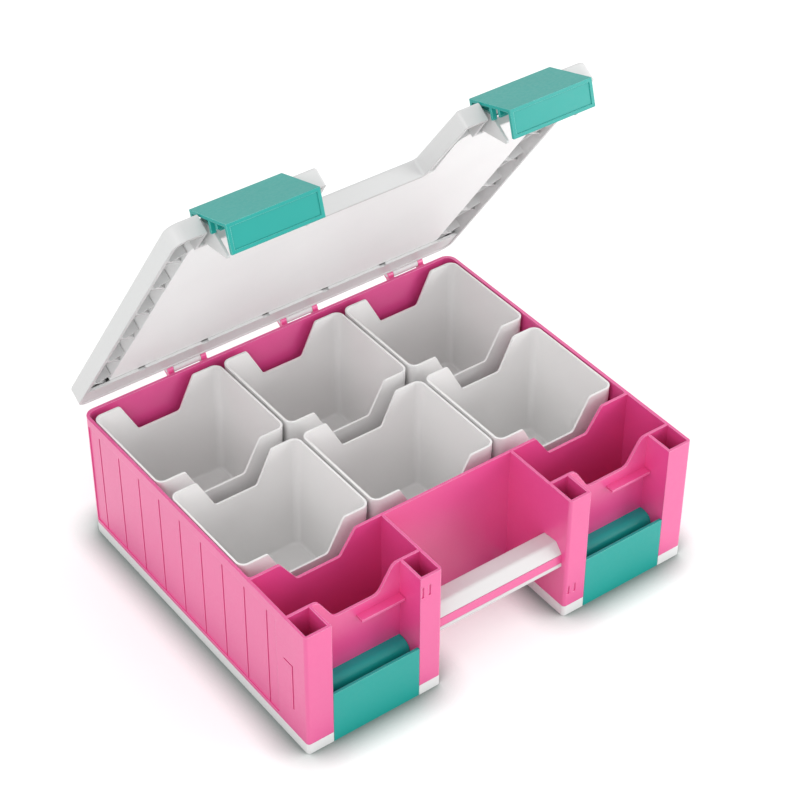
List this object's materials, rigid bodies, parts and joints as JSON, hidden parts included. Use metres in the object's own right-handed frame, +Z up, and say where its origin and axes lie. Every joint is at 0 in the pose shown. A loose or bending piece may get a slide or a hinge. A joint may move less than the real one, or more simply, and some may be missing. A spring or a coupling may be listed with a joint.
{
  "type": "card game storage box",
  "caption": "Carry case with lift-out trays, front pockets, a handle bar and a hinged lid closed by two swing latches.",
  "frame": {"origin": "centre of the base's footprint, on the surface it stands on", "axes": "+Z up, +Y towards the lid's hinges, +X to the right seen from the handle side"},
  "size_m": [0.344, 0.3021, 0.3717],
  "materials": {
    "pink_plastic": "satin",
    "white_plastic": "satin",
    "white_sheet": "satin",
    "tray_plastic": "satin",
    "teal_plastic": "satin",
    "steel": "satin"
  },
  "bodies": {
    "base": {"base_shell": "pink_plastic", "base_bottom_cover": "white_plastic", "front_pocket_left": "pink_plastic", "front_pocket_right": "pink_plastic", "column_inner_left": "pink_plastic", "column_inner_right": "pink_plastic", "column_outer_left": "pink_plastic", "column_outer_right": "pink_plastic", "handle_grip": "white_plastic", "handle_trim": "pink_plastic", "handle_base": "white_plastic", "catch_left": "teal_plastic", "catch_right": "teal_plastic", "hinge_pin_1": "steel", "hinge_pin_2": "steel", "hinge_pin_3": "steel"},
    "lid": {"lid_shell": "white_plastic", "lid_inner_panel": "white_sheet", "latch_pin_left": "steel", "latch_pin_right": "steel"},
    "latch_left": {"latch_left": "teal_plastic"},
    "latch_right": {"latch_right": "teal_plastic"},
    "tray_back_left": {"tray_back_left": "tray_plastic"},
    "tray_back_middle": {"tray_back_middle": "tray_plastic"},
    "tray_back_right": {"tray_back_right": "tray_plastic"},
    "tray_front_left": {"tray_front_left": "tray_plastic"},
    "tray_front_middle": {"tray_front_middle": "tray_plastic"},
    "tray_front_right": {"tray_front_right": "tray_plastic"}
  },
  "joints": [
    {"name": "lid_hinge", "type": "hinge", "parent": "base", "child": "lid", "pos_m": [0, 0.1495, 0.1125], "axis": [-1, 0, 0], "range_deg": [-55.8, 54.2]},
    {"name": "latch_left_hinge", "type": "hinge", "parent": "lid", "child": "latch_left", "pos_m": [0, -0.00175, 0.34414], "axis": [-1, 0, 0], "range_deg": [-50.8, 25]},
    {"name": "latch_right_hinge", "type": "hinge", "parent": "lid", "child": "latch_right", "pos_m": [0, -0.00175, 0.34414], "axis": [-1, 0, 0], "range_deg": [-50.8, 25]},
    {"name": "tray_back_left_lift", "type": "slide", "parent": "base", "child": "tray_back_left", "axis": [0, 0, 1], "range_m": [0, 0.018]},
    {"name": "tray_back_middle_lift", "type": "slide", "parent": "base", "child": "tray_back_middle", "axis": [0, 0, 1], "range_m": [0, 0.018]},
    {"name": "tray_back_right_lift", "type": "slide", "parent": "base", "child": "tray_back_right", "axis": [0, 0, 1], "range_m": [0, 0.018]},
    {"name": "tray_front_left_lift", "type": "slide", "parent": "base", "child": "tray_front_left", "axis": [0, 0, 1], "range_m": [0, 0.105]},
    {"name": "tray_front_middle_lift", "type": "slide", "parent": "base", "child": "tray_front_middle", "axis": [0, 0, 1], "range_m": [0, 0.105]},
    {"name": "tray_front_right_lift", "type": "slide", "parent": "base", "child": "tray_front_right", "axis": [0, 0, 1], "range_m": [0, 0.105]}
  ]
}
